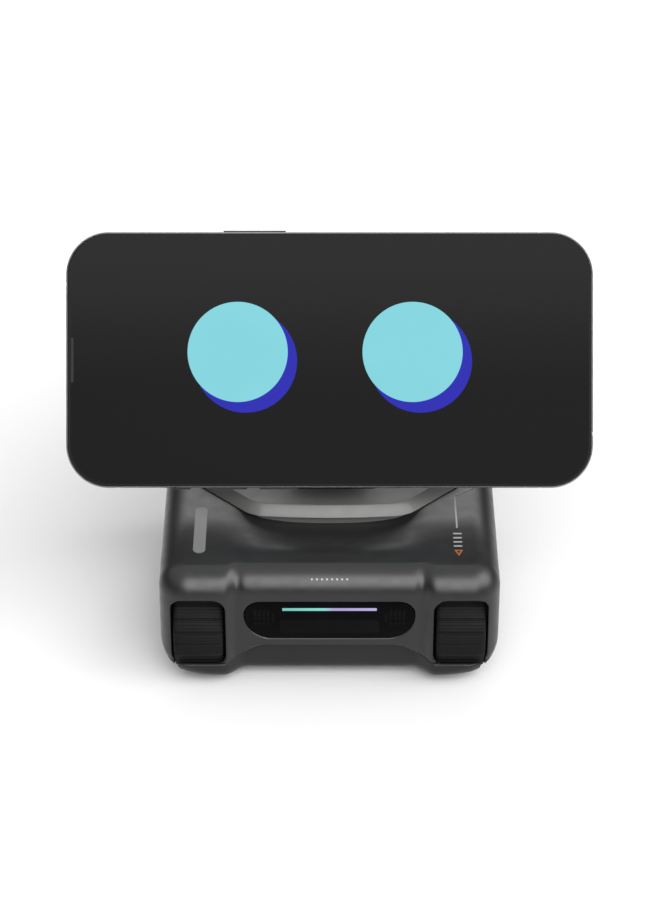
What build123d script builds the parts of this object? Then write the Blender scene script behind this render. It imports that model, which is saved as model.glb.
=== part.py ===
from build123d import *
import math
import os

os.makedirs("parts", exist_ok=True)

# ---------------------------------------------------------------- driving dimensions (mm)
BODY_HALF_WIDTH = 51.45      # body spans X from minus to plus this
BODY_FRONT = -44.2           # Y of the fenders over the wheels
BODY_BACK = 44.5             # Y of the rear face
BODY_BOTTOM = 2.2            # ground clearance
BODY_TOP = 40.0              # flat shoulder around the collar
SPLIT_Z = 8.2                # top shell meets base shell here, except at the chin
RIB_TOP = 12.0               # ribs and cradles inside the base reach this height
WALL = 2.0                   # moulded wall
CORNER_RADIUS = 9.2          # plan corners
TOP_RADIUS = 8.0             # rounding of the top edge
SIDE_LOW_RADIUS = 13.5       # rounding of the long bottom edges
FRONT_LOW_RADIUS = 4.0       # rounding of the bottom edge under the fenders
BACK_LOW_RADIUS = 8.0        # rounding of the rear bottom edge
FACE_HALF_WIDTH = 28.5       # centre face, set back between the fenders
FACE_Y = -42.5
CHIN_Y = -39.5               # recessed chin below the face
CHIN_Z = 14.3

WINDOW_HALF_WIDTH = 26.1
WINDOW_LOW = 16.6
WINDOW_HIGH = 29.9
WINDOW_TOP_RADIUS = 4.6
WINDOW_LOW_RADIUS = 8.3
WINDOW_DEPTH = 1.6
LIGHT_HALF_LENGTH = 14.2
LIGHT_Z = 27.6
LIGHT_HEIGHT = 1.0
DOT_COUNT = 8                # light pipes on the rounding above the window
DOT_PITCH = 1.51
DOT_RADIUS = 0.32
DOT_TILT = 41.0              # degrees up from the horizontal

WHEEL_RADIUS = 16.0
WHEEL_Y = -28.5
WHEEL_WIDTH = 15.0
WHEEL_X = 39.65              # middle of the tread
RIM_RADIUS = 12.2
TREAD_RIBS = 48
RIB_DEPTH = 0.45
AXLE_RADIUS = 1.5
RUNNING_GAP = 0.05           # radial gap of a shaft in its bush
WELL_INNER_X = 31.4
WELL_OUTER_X = 47.8
WELL_RADIUS = 16.6
WELL_TOP = 31.7              # upper edge of the fender opening
LIP_TOP = 8.4                # lip in front of the tread

GEAR_MODULE = 0.8
WHEEL_TEETH = 24
PINION_TEETH = 8
GEAR_WIDTH = 4.0
GEAR_X = 24.5                # middle of the drive gears
MESH_GAP = 0.16              # added to the pitch distance
PINION_Y = WHEEL_Y + GEAR_MODULE * (WHEEL_TEETH + PINION_TEETH) / 2 + MESH_GAP
MOTOR_RADIUS = 6.0
BUSH_RADIUS = 3.5

NECK_Y = 12.0                # tilt axis of the neck
NECK_Z = 30.0
BARREL_RADIUS = 10.5
BARREL_HALF_WIDTH = 13.6
SHAFT_RADIUS = 2.0
SLOT_GAP = 0.6
SLOT_BACK = 25.4             # rear end of the slot that the arm swings in
NECK_TEETH = 16
SERVO_TEETH = 10
NECK_GEAR_X = 22.6

COLLAR_TOP = 43.2
COLLAR_BASE = 40.2
COLLAR_BEVEL = 2.9
PANEL_TOP = 42.3

PHONE_WIDTH = 160.8          # the phone lies on its side, so this runs along X
PHONE_HEIGHT = 78.1
PHONE_DEPTH = 7.65
PHONE_CORNER = 13.0
PHONE_LEAN = 33.0            # degrees back from upright
PHONE_EDGE_Y = -11.0         # lower front edge of the phone
PHONE_EDGE_Z = 50.5
FRAME_WIDTH = 1.6
GLASS_THICK = 0.7
HEAD_RADIUS = 29.0
HEAD_GAP = 0.05
PAD_THICK = 1.2
HEAD_THICK = 5.0

POWER_X = 24.0               # power button in the rear wall
POWER_Z = 20.0
CASTER_RADIUS = 7.0
CASTER_Y = 31.6

# The phone's own flat frame: X along its long side, Y up its face, Z out of the screen.
PHONE_PLACE = Pos(0, PHONE_EDGE_Y, PHONE_EDGE_Z) * Rot(90 - PHONE_LEAN, 0, 0)


# ---------------------------------------------------------------- helpers
def save(name, shape):
    """Write one node to its own STEP file."""
    shape.label = name
    export_step(shape, f"parts/{name}.step")


def block(x_low, x_high, y_low, y_high, z_low, z_high):
    """A box from its two corners."""
    size = (x_high - x_low, y_high - y_low, z_high - z_low)
    middle = ((x_low + x_high) / 2, (y_low + y_high) / 2, (z_low + z_high) / 2)
    return Pos(*middle) * Box(*size)


def rod_x(x_low, x_high, y, z, radius):
    """A round bar along X."""
    bar = Cylinder(radius, x_high - x_low)
    return Pos((x_low + x_high) / 2, y, z) * Rot(0, 90, 0) * bar


def rod_z(x, y, z_low, z_high, radius):
    """A round bar along Z."""
    return Pos(x, y, (z_low + z_high) / 2) * Cylinder(radius, z_high - z_low)


def tub(shrink):
    """The body's rounded block, with every face moved inward by shrink."""
    half = BODY_HALF_WIDTH - shrink
    front, back = BODY_FRONT + shrink, BODY_BACK - shrink
    low, high = BODY_BOTTOM + shrink, BODY_TOP - shrink
    body = block(-half, half, front, back, low, high)
    body = fillet(body.edges().filter_by(Axis.Z), CORNER_RADIUS - shrink)
    body = fillet(body.edges().group_by(Axis.Z)[-1], TOP_RADIUS - shrink)
    across = block(-half, half, front - 1, back + 1, low, high + 1)
    long_edges = across.edges().filter_by(Axis.Y).group_by(Axis.Z)[0]
    body &= fillet(long_edges, SIDE_LOW_RADIUS - shrink)
    along = block(-half - 1, half + 1, front, back, low, high + 1)
    end_edges = along.edges().filter_by(Axis.X).group_by(Axis.Z)[0].sort_by(Axis.Y)
    along = fillet(end_edges[0], FRONT_LOW_RADIUS - shrink)
    end_edges = along.edges().filter_by(Axis.X).group_by(Axis.Z)[0].sort_by(Axis.Y)
    return body & fillet(end_edges[-1], BACK_LOW_RADIUS - shrink)


def gear_x(teeth, x, y, z, phase=0.0, bore=AXLE_RADIUS):
    """A spur gear about X with straight-sided teeth; phase in degrees turns its first tooth."""
    pitch = GEAR_MODULE * teeth / 2
    tip = pitch + 0.82 * GEAR_MODULE
    root = pitch - 1.1 * GEAR_MODULE
    step = 360 / teeth
    points = []
    for tooth in range(teeth):
        for radius, turn in ((root, -0.27), (tip, -0.105), (tip, 0.105), (root, 0.27)):
            angle = math.radians(phase + (tooth + turn) * step)
            points.append((radius * math.cos(angle), radius * math.sin(angle)))
    face = Plane.YZ * make_face(Polyline(*points, close=True))
    wheel = extrude(face, amount=GEAR_WIDTH)
    wheel = Pos(x - GEAR_WIDTH / 2, y, z) * wheel
    return wheel - rod_x(x - GEAR_WIDTH, x + GEAR_WIDTH, y, z, bore)


def slab(outline, z_low, z_high):
    """A flat plate of the outline between two heights."""
    return Pos(0, 0, z_low) * extrude(outline, amount=z_high - z_low)


# ---------------------------------------------------------------- body shells
def wheel_well(side):
    """The space cut out of the body around one wheel."""
    low, high = sorted((side * WELL_INNER_X, side * WELL_OUTER_X))
    hole = rod_x(low, high, WHEEL_Y, WHEEL_RADIUS, WELL_RADIUS)
    return hole + block(low, high, BODY_FRONT - 5, WHEEL_Y, LIP_TOP, WELL_TOP)


def well_wall(side):
    """The moulded wall that closes a wheel well off from the inside."""
    low, high = sorted((side * (WELL_INNER_X - WALL), side * (WELL_OUTER_X + 1)))
    reach = WELL_RADIUS + WALL
    return block(low, high, BODY_FRONT, WHEEL_Y + reach, BODY_BOTTOM, WHEEL_RADIUS + reach)


def window_outline(grow):
    """The sensor window's outline in the XZ plane, as a face that points to the front."""
    low, high = WINDOW_LOW - grow, WINDOW_HIGH + grow
    half = WINDOW_HALF_WIDTH + grow
    face = make_face(Polyline((-half, low), (half, low), (half, high), (-half, high), close=True))
    face = fillet(face.vertices().group_by(Axis.Y)[-1], WINDOW_TOP_RADIUS + grow)
    return Plane.XZ * fillet(face.vertices().group_by(Axis.Y)[0][:2], WINDOW_LOW_RADIUS + grow)


def window_solid(grow, y_front, y_back):
    """The window's outline as a plate between two depths."""
    return Pos(0, y_back, 0) * extrude(window_outline(grow), amount=y_back - y_front)


def collar_outline(inset):
    """The collar's rounded octagon, moved inward by inset."""
    front, back = -12.3 + inset, 36.0 - inset
    near, far = 23.8 - 0.41 * inset, 42.0 - inset
    bow = 1.3
    corner = far - near
    lines = [
        ThreePointArc((-near, front + bow), (0, front - 0.3), (near, front + bow)),
        Line((near, front + bow), (far, front + bow + corner)),
        Line((far, front + bow + corner), (far, back - corner)),
        Line((far, back - corner), (near, back)),
        Line((near, back), (-near, back)),
        Line((-near, back), (-far, back - corner)),
        Line((-far, back - corner), (-far, front + bow + corner)),
        Line((-far, front + bow + corner), (-near, front + bow)),
    ]
    face = make_face(Wire(lines))
    return fillet(face.vertices(), 7.0)


def neck_slot():
    """The opening in the top that the neck's barrel turns in."""
    x, y = BARREL_HALF_WIDTH + SLOT_GAP, BARREL_RADIUS + SLOT_GAP
    return block(-x, x, NECK_Y - y, SLOT_BACK, 34, 60)


def base_zone():
    """The space of the base shell: below the joint, and the chin up to the face's lower edge."""
    half = FACE_HALF_WIDTH
    chin = block(-half, half, BODY_FRONT - 1, CHIN_Y + WALL, SPLIT_Z - 1, CHIN_Z)
    return block(-90, 90, -90, 90, -1, SPLIT_Z) + chin


def body_shells():
    """The top and base shells, which meet at the joint line."""
    outer = tub(0)
    shell = outer - tub(WALL)
    face_wall = block(
        -FACE_HALF_WIDTH, FACE_HALF_WIDTH, BODY_FRONT, CHIN_Y + WALL, BODY_BOTTOM, BODY_TOP
    )
    shell += outer & face_wall
    for side in (-1, 1):
        shell += outer & well_wall(side)
        shell -= wheel_well(side)
    width = FACE_HALF_WIDTH
    shell -= block(-width, width, BODY_FRONT - 1, FACE_Y, CHIN_Z, BODY_TOP + 1)
    shell -= block(-width, width, BODY_FRONT - 1, CHIN_Y, 0, CHIN_Z)
    shell -= window_solid(0.1, BODY_FRONT - 1, FACE_Y + WINDOW_DEPTH)
    shell -= window_solid(-1.5, BODY_FRONT - 1, CHIN_Y + WALL + 1)
    shell -= neck_slot()
    for side in (-1, 1):
        low, high = sorted((side * (WELL_INNER_X - WALL - 1), side * (WELL_INNER_X + 1)))
        shell -= rod_x(low, high, WHEEL_Y, WHEEL_RADIUS, BUSH_RADIUS)
        gear_low, gear_high = sorted((side * (GEAR_X - 2.8), side * (GEAR_X + 2.8)))
        shell -= rod_x(gear_low, gear_high, WHEEL_Y, WHEEL_RADIUS, 10.8)
    return shell - base_zone(), shell & base_zone()


def power_hole(radius, depth):
    """The round hole for the power button in the rear wall."""
    place = Pos(POWER_X, BODY_BACK - depth / 2, POWER_Z) * Rot(90, 0, 0)
    return place * Cylinder(radius, depth + 1)


def port_cut(grow, y_low, y_high):
    """The charging port's rounded slot in the rear wall."""
    face = Plane.XZ * SlotOverall(8.9 + 2 * grow, 3.2 + 2 * grow)
    return Pos(0, y_high, 20) * extrude(face, amount=y_high - y_low)


SCREW_POINTS = [(-39, 34), (39, 34), (-39, -6), (39, -6)]
SPEAKER = (-31.5, 14)
SPEAKER_HOLES = ((0, 1), (2.7, 6), (5.4, 12))    # ring radius, number of holes
CLIFF_X = 16.0
CLIFF_Y = -29.0


def dot_row(length, grow):
    """Eight light pipes in a row along the rounding of the front edge."""
    turn = math.radians(DOT_TILT)
    reach = TOP_RADIUS - length / 2
    y = FACE_Y + TOP_RADIUS - reach * math.cos(turn)
    z = BODY_TOP - TOP_RADIUS + reach * math.sin(turn)
    dots = []
    for index in range(DOT_COUNT):
        x = (index - (DOT_COUNT - 1) / 2) * DOT_PITCH
        place = Pos(x, y, z) * Rot(90 - DOT_TILT, 0, 0)
        dots.append(place * Cylinder(DOT_RADIUS + grow, length + 2 * grow))
    return Compound(children=dots)


def finish_shells():
    """Cut ports, screws and grilles into the shells and write them."""
    top, base = body_shells()
    top -= port_cut(0.35, BODY_BACK - 4, BODY_BACK + 1)
    top -= power_hole(3.9, 4)
    for x, y in SCREW_POINTS:
        boss = rod_z(x, y, BODY_BOTTOM + 1, SPLIT_Z, 3.4)
        base += boss
        base -= rod_z(x, y, -1, BODY_BOTTOM + 2.2, 2.5)
        base -= rod_z(x, y, -1, SPLIT_Z + 1, 1.3)
        top += rod_z(x, y, SPLIT_Z, BODY_TOP - 1, 3.2)
        top -= rod_z(x, y, SPLIT_Z - 1, 21, 1.05)
    for y in (18.0, 25.0):
        base += block(28, 41, y, y + 2, BODY_BOTTOM + 1, RIB_TOP)
    for side in (-1, 1):
        cradle_x = sorted((side * 5, side * 15))
        cradle = block(*cradle_x, PINION_Y - 7.2, PINION_Y + 7.2, BODY_BOTTOM + 1, RIB_TOP)
        base += cradle - rod_x(-30, 30, PINION_Y, WHEEL_RADIUS, MOTOR_RADIUS)
    base -= rod_z(0, CASTER_Y, -1, BODY_BOTTOM + WALL + 5, 9.55)
    for ring, count in SPEAKER_HOLES:
        for index in range(count):
            angle = 2 * math.pi * index / count
            hole_x = SPEAKER[0] + ring * math.cos(angle)
            hole_y = SPEAKER[1] + ring * math.sin(angle)
            base -= rod_z(hole_x, hole_y, -1, BODY_BOTTOM + WALL + 1, 0.7)
    for side in (-1, 1):
        base -= rod_z(side * CLIFF_X, CLIFF_Y, -1, BODY_BOTTOM + WALL + 3, 3.05)
    top -= dot_row(1.2, 0.02)
    save("top_shell", top)
    save("base_shell", base)


def base_fittings():
    """Screws, cliff sensors, speaker, charging port and the caster's socket."""
    screws = []
    for x, y in SCREW_POINTS:
        shank = rod_z(x, y, BODY_BOTTOM + 1.2, 19, 1.0)
        head = rod_z(x, y, BODY_BOTTOM + 0.4, BODY_BOTTOM + 2.2, 2.3)
        socket = Pos(x, y, BODY_BOTTOM + 0.4) * extrude(RegularPolygon(1.1, 6), amount=1.0)
        screws.append(shank + head - socket)
    save("base_screws", Compound(children=screws))
    sensors = []
    for side in (-1, 1):
        sensors.append(rod_z(side * CLIFF_X, CLIFF_Y, BODY_BOTTOM + 0.2, 8, 3.0))
    save("cliff_sensors", Compound(children=sensors))
    low = BODY_BOTTOM + WALL + 0.2
    speaker = rod_z(*SPEAKER, low, low + 2.4, 8) + rod_z(*SPEAKER, low + 2.4, low + 6, 6)
    speaker -= rod_z(*SPEAKER, low - 1, low + 1.2, 6.6)
    save("speaker", speaker)
    shell = port_cut(0.3, BODY_BACK - 9, BODY_BACK - 0.3)
    tongue = block(-3.3, 3.3, BODY_BACK - 8, BODY_BACK - 1.6, 19.65, 20.35)
    save("charge_port", shell - port_cut(0, BODY_BACK - 8, BODY_BACK + 1) + tongue)
    cup = rod_z(0, CASTER_Y, BODY_BOTTOM - 0.6, 16.4, 9.5)
    cup -= Pos(0, CASTER_Y, CASTER_RADIUS) * Sphere(CASTER_RADIUS + 0.3)
    cup -= rod_z(0, CASTER_Y, 0, 3.4, 6.6)
    save("caster_socket", cup)
    save("caster_ball", Pos(0, CASTER_Y, CASTER_RADIUS) * Sphere(CASTER_RADIUS))


def front_fittings():
    """The sensor window with its light bar, light board and sensor modules."""
    back = FACE_Y + WINDOW_DEPTH
    bar = block(
        -LIGHT_HALF_LENGTH, LIGHT_HALF_LENGTH, FACE_Y - 0.1, FACE_Y + 0.7,
        LIGHT_Z - LIGHT_HEIGHT / 2, LIGHT_Z + LIGHT_HEIGHT / 2,
    )
    save("sensor_window", window_solid(0, FACE_Y - 0.1, back) - bar)
    save("light_bar", bar)
    save("light_board", block(-16, 16, back + 0.1, back + 1.0, 18.5, 28.0))
    modules = []
    for x in (-20.2, 19.6):
        modules.append(block(x - 2.6, x + 2.6, back + 0.1, back + 1.6, 20.5, 27.5))
    save("sensor_modules", Compound(children=modules))
    save("indicator_dots", dot_row(1.1, 0))


def collar_parts():
    """The bevelled collar ring, its recessed panel and the marks on the shoulders."""
    foot = slab(collar_outline(0), COLLAR_BASE - 0.15, COLLAR_BASE)
    low = Pos(0, 0, COLLAR_BASE) * collar_outline(0)
    high = Pos(0, 0, COLLAR_TOP) * collar_outline(COLLAR_BEVEL)
    ring = loft([low, high])
    ring += foot
    ring -= slab(collar_outline(COLLAR_BEVEL + 0.6), 35, 60)
    save("collar_ring", ring)
    panel = slab(collar_outline(COLLAR_BEVEL + 0.65), BODY_TOP + 0.05, PANEL_TOP)
    save("collar_panel", panel - neck_slot())
    label = Pos(-39.4, -18.4, BODY_TOP) * extrude(Rot(0, 0, 90) * SlotOverall(24.6, 3.7), amount=0.12)
    save("label_plate", label)
    stroke = Line((44.4, 4.6), (38.8, 0.3)) + Line((38.8, 0.3), (38.9, -17.3))
    line_face = trace(stroke, 0.5)
    marks = Pos(0, 0, BODY_TOP) * extrude(line_face, amount=0.1)
    ticks = []
    for y in (-20.4, -22.6, -24.8, -27.0):
        ticks.append(block(37.6, 40.2, y - 0.35, y + 0.35, BODY_TOP, BODY_TOP + 0.1))
    save("shoulder_marks", Compound(children=[marks, *ticks]))
    arrow = make_face(Polyline((37.7, -29.1), (40.3, -29.1), (39.0, -32.2), close=True))
    arrow -= make_face(Polyline((38.4, -29.5), (39.6, -29.5), (39.0, -31.0), close=True))
    save("arrow_mark", Pos(0, 0, BODY_TOP) * extrude(arrow, amount=0.1))


# ---------------------------------------------------------------- wheels and drive
def tyre(x_low, x_high):
    """A rubber tyre about X with a ribbed tread."""
    points = []
    for rib in range(TREAD_RIBS):
        for radius, turn in ((0, 0.08), (0, 0.78), (RIB_DEPTH, 0.86), (RIB_DEPTH, 1.0)):
            angle = 2 * math.pi * (rib + turn) / TREAD_RIBS
            reach = WHEEL_RADIUS - radius
            points.append((reach * math.cos(angle), reach * math.sin(angle)))
    face = Plane.YZ * make_face(Polyline(*points, close=True))
    ring = Pos(x_low, WHEEL_Y, WHEEL_RADIUS) * extrude(face, amount=x_high - x_low)
    return ring - rod_x(x_low - 1, x_high + 1, WHEEL_Y, WHEEL_RADIUS, RIM_RADIUS)


def wheel_rim(side, x_low, x_high):
    """The rim that carries the tyre, open on its outer side, with round windows."""
    rim = rod_x(x_low, x_high, WHEEL_Y, WHEEL_RADIUS, RIM_RADIUS)
    web = sorted((side * (WHEEL_X - 2), side * (WHEEL_X + 8)))
    rim -= rod_x(*web, WHEEL_Y, WHEEL_RADIUS, RIM_RADIUS - 1.6)
    rim += rod_x(*sorted((side * (WHEEL_X - 2), side * (WHEEL_X + 5))), WHEEL_Y, WHEEL_RADIUS, 3.4)
    for spoke in range(6):
        angle = math.radians(60 * spoke + 30)
        y = WHEEL_Y + 7 * math.cos(angle)
        z = WHEEL_RADIUS + 7 * math.sin(angle)
        rim -= rod_x(x_low - 1, x_high + 1, y, z, 2.2)
    return rim - rod_x(x_low - 1, x_high + 1, WHEEL_Y, WHEEL_RADIUS, AXLE_RADIUS)


def drive(side, name):
    """One wheel with its axle and gears; side is -1 left, 1 right."""
    low, high = sorted((side * (WHEEL_X - WHEEL_WIDTH / 2), side * (WHEEL_X + WHEEL_WIDTH / 2)))
    save(f"{name}_tyre", tyre(low, high))
    save(f"{name}_rim", wheel_rim(side, low, high))
    save(f"{name}_axle", rod_x(*sorted((side * 21.8, side * 44.6)), WHEEL_Y, WHEEL_RADIUS, AXLE_RADIUS))
    save(f"{name}_drive_gear", gear_x(WHEEL_TEETH, side * GEAR_X, WHEEL_Y, WHEEL_RADIUS))
    pinion = gear_x(PINION_TEETH, side * GEAR_X, PINION_Y, WHEEL_RADIUS, 180 / PINION_TEETH, 0.8)
    spindle = rod_x(*sorted((side * 21.4, side * 26.9)), PINION_Y, WHEEL_RADIUS, 0.8)
    save(f"{name}_pinion", pinion + spindle)


def motors_and_bushes():
    """The two drive motors and the two wheel bushes, each pair alike."""
    motors = []
    bushes = []
    for side in (-1, 1):
        motor = rod_x(*sorted((side * 1.2, side * 19.4)), PINION_Y, WHEEL_RADIUS, MOTOR_RADIUS)
        nose = rod_x(*sorted((side * 19.4, side * 21.0)), PINION_Y, WHEEL_RADIUS, 2.2)
        motors.append(motor + nose)
        bush = rod_x(*sorted((side * 28.6, side * 31.9)), WHEEL_Y, WHEEL_RADIUS, BUSH_RADIUS)
        bore = AXLE_RADIUS + RUNNING_GAP
        bushes.append(bush - rod_x(*sorted((side * 20, side * 40)), WHEEL_Y, WHEEL_RADIUS, bore))
    save("drive_motors", Compound(children=motors))
    save("wheel_bushes", Compound(children=bushes))


# ---------------------------------------------------------------- inside the body
def electronics():
    """Main board, battery and the neck servo with its brackets."""
    board = block(-28, 28, -36.5, -4, 34.4, 36.0)
    for x, y, size in ((-12, -20, 8), (8, -14, 10), (20, -28, 5), (-20, -9, 5), (-2, -31, 6)):
        half = size / 2
        board += block(x - half, x + half, y - half, y + half, 33.2, 34.4)
    save("main_board", board)
    battery = block(-14.6, 14.6, -8, 21.5, BODY_BOTTOM + WALL, 14.5)
    save("battery", fillet(battery.edges().filter_by(Axis.X), 2.0))
    brackets = []
    for side in (-1, 1):
        low, high = sorted((side * 15.4, side * 18.4))
        ear = rod_x(low, high, NECK_Y, NECK_Z, 5.5)
        ear += block(low, high, NECK_Y - 5.5, NECK_Y + 5.5, BODY_BOTTOM + WALL, NECK_Z)
        foot_x = sorted((side * 15.4, side * 22.5))
        foot_z = BODY_BOTTOM + WALL
        ear += block(*foot_x, NECK_Y - 5.5, NECK_Y + 5.5, foot_z, foot_z + 2)
        ear -= rod_x(low - 9, high + 9, NECK_Y, NECK_Z, SHAFT_RADIUS + RUNNING_GAP)
        brackets.append(ear)
    save("neck_brackets", Compound(children=brackets))
    servo_y = NECK_Y + GEAR_MODULE * (NECK_TEETH + SERVO_TEETH) / 2 + MESH_GAP
    servo = block(26.6, 47.0, servo_y - 6, servo_y + 6, RIB_TOP + 0.1, 36.0)
    save("neck_servo", servo + rod_x(25.6, 26.6, servo_y, NECK_Z, 3.0))
    gear = gear_x(SERVO_TEETH, NECK_GEAR_X, servo_y, NECK_Z, 180 / SERVO_TEETH, 1.0)
    save("servo_pinion", gear + rod_x(NECK_GEAR_X - 2, 25.3, servo_y, NECK_Z, 1.0))


def power_button():
    """The round button in the rear wall, with its collar inside."""
    cap = Pos(POWER_X, BODY_BACK - 1.7, POWER_Z) * Rot(90, 0, 0) * Cylinder(3.6, 3.0)
    flange = Pos(POWER_X, BODY_BACK - 3.6, POWER_Z) * Rot(90, 0, 0) * Cylinder(4.6, 1.0)
    save("power_button", cap + flange)


# ---------------------------------------------------------------- neck and magnetic head
def head_disc(radius, z_high, z_low, hole=0.0):
    """A disc behind the phone, in the phone's frame, centred on its back."""
    disc = Pos(0, PHONE_HEIGHT / 2, (z_low + z_high) / 2) * Cylinder(radius, z_high - z_low)
    if hole:
        disc -= Pos(0, PHONE_HEIGHT / 2, (z_low + z_high) / 2) * Cylinder(hole, z_high - z_low + 2)
    return disc


def neck_parts():
    """The barrel, arm, shaft and gear that tilt, and the magnetic head on the arm."""
    barrel = rod_x(-BARREL_HALF_WIDTH, BARREL_HALF_WIDTH, NECK_Y, NECK_Z, BARREL_RADIUS)
    save("neck_barrel", barrel - rod_x(-30, 30, NECK_Y, NECK_Z, SHAFT_RADIUS))
    back = -PHONE_DEPTH - HEAD_GAP
    pad_back = back - PAD_THICK
    plate_back = pad_back - HEAD_THICK
    pad = head_disc(HEAD_RADIUS - 1.2, back, pad_back)
    save("head_pad", PHONE_PLACE * pad)
    plate = head_disc(HEAD_RADIUS, back - 0.25, plate_back)
    plate -= head_disc(HEAD_RADIUS - 1.2, back + 1, pad_back)
    plate -= head_disc(26.5, pad_back + 1, pad_back - 2.6, 21.5)
    plate = fillet(plate.edges().filter_by(GeomType.CIRCLE).group_by(Axis.Z)[0], 2.0)
    magnets = []
    segment = head_disc(26.3, pad_back - 0.1, pad_back - 2.5, 21.7)
    for index in range(16):
        wedge = Pos(0, 0, pad_back - 1.3) * Box(20, 7.8, 4)
        place = Pos(0, PHONE_HEIGHT / 2, 0) * Rot(0, 0, index * 22.5) * Pos(24, 0, 0)
        magnets.append(segment & (place * wedge))
    save("head_magnets", PHONE_PLACE * Compound(children=magnets))
    screws = []
    for x in (-7, 7):
        for y in (-5, 5):
            head = Pos(x, PHONE_HEIGHT / 2 + y, pad_back - 1.0) * Cylinder(1.8, 1.6)
            shank = Pos(x, PHONE_HEIGHT / 2 + y, pad_back - 4.1) * Cylinder(0.9, 4.6)
            screws.append(head + shank)
    seats = Compound(children=screws)
    arm_foot = Pos(0, NECK_Y + 1.6, NECK_Z + 8) * Rectangle(24, 8)
    arm_foot = fillet(arm_foot.vertices(), 3.5)
    top_plane = Plane(PHONE_PLACE * Pos(0, PHONE_HEIGHT / 2, plate_back))
    arm_top = top_plane * fillet(Rectangle(26, 20).vertices(), 5)
    arm = loft([arm_foot, arm_top]) - rod_x(-30, 30, NECK_Y, NECK_Z, BARREL_RADIUS)
    plate_cut = PHONE_PLACE * seats
    save("neck_arm", arm - plate_cut)
    save("plate_screws", plate_cut)
    save("head_plate", PHONE_PLACE * (plate - seats))
    save("neck_shaft", rod_x(-20, 24.9, NECK_Y, NECK_Z, SHAFT_RADIUS))
    save("neck_gear", gear_x(NECK_TEETH, NECK_GEAR_X, NECK_Y, NECK_Z, 0, SHAFT_RADIUS))


# ---------------------------------------------------------------- the phone that is the face
def phone_outline(inset):
    """The phone's rounded outline in its own frame, moved inward by inset."""
    size = (PHONE_WIDTH - 2 * inset, PHONE_HEIGHT - 2 * inset)
    return Pos(0, PHONE_HEIGHT / 2) * RectangleRounded(*size, PHONE_CORNER - inset)


# name, X of its middle, half length, which long edge it is on, how far it stands out,
# half its size through the phone, and how far it slides through the phone each way
PHONE_BUTTONS = [
    ("phone_side_button", -22.9, 9.5, 1, 0.55, 1.45, 0.0),
    ("phone_volume_up", -30.8, 5.5, -1, 0.5, 1.45, 0.0),
    ("phone_volume_down", -15.6, 5.7, -1, 0.5, 1.45, 0.0),
    ("phone_ring_switch", -45.3, 2.7, -1, 0.5, 1.0, 0.6),
]
BUTTON_GAP = 0.12            # clearance of a button in the frame


def button_block(x, half, edge, low, high, depth):
    """A bar through the phone's long edge, from low to high outside the edge line."""
    middle_z = -PHONE_DEPTH / 2
    edge_y = PHONE_HEIGHT if edge > 0 else 0.0
    y_low, y_high = sorted((edge_y + edge * low, edge_y + edge * high))
    return block(x - half, x + half, y_low, y_high, middle_z - depth, middle_z + depth)


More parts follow.
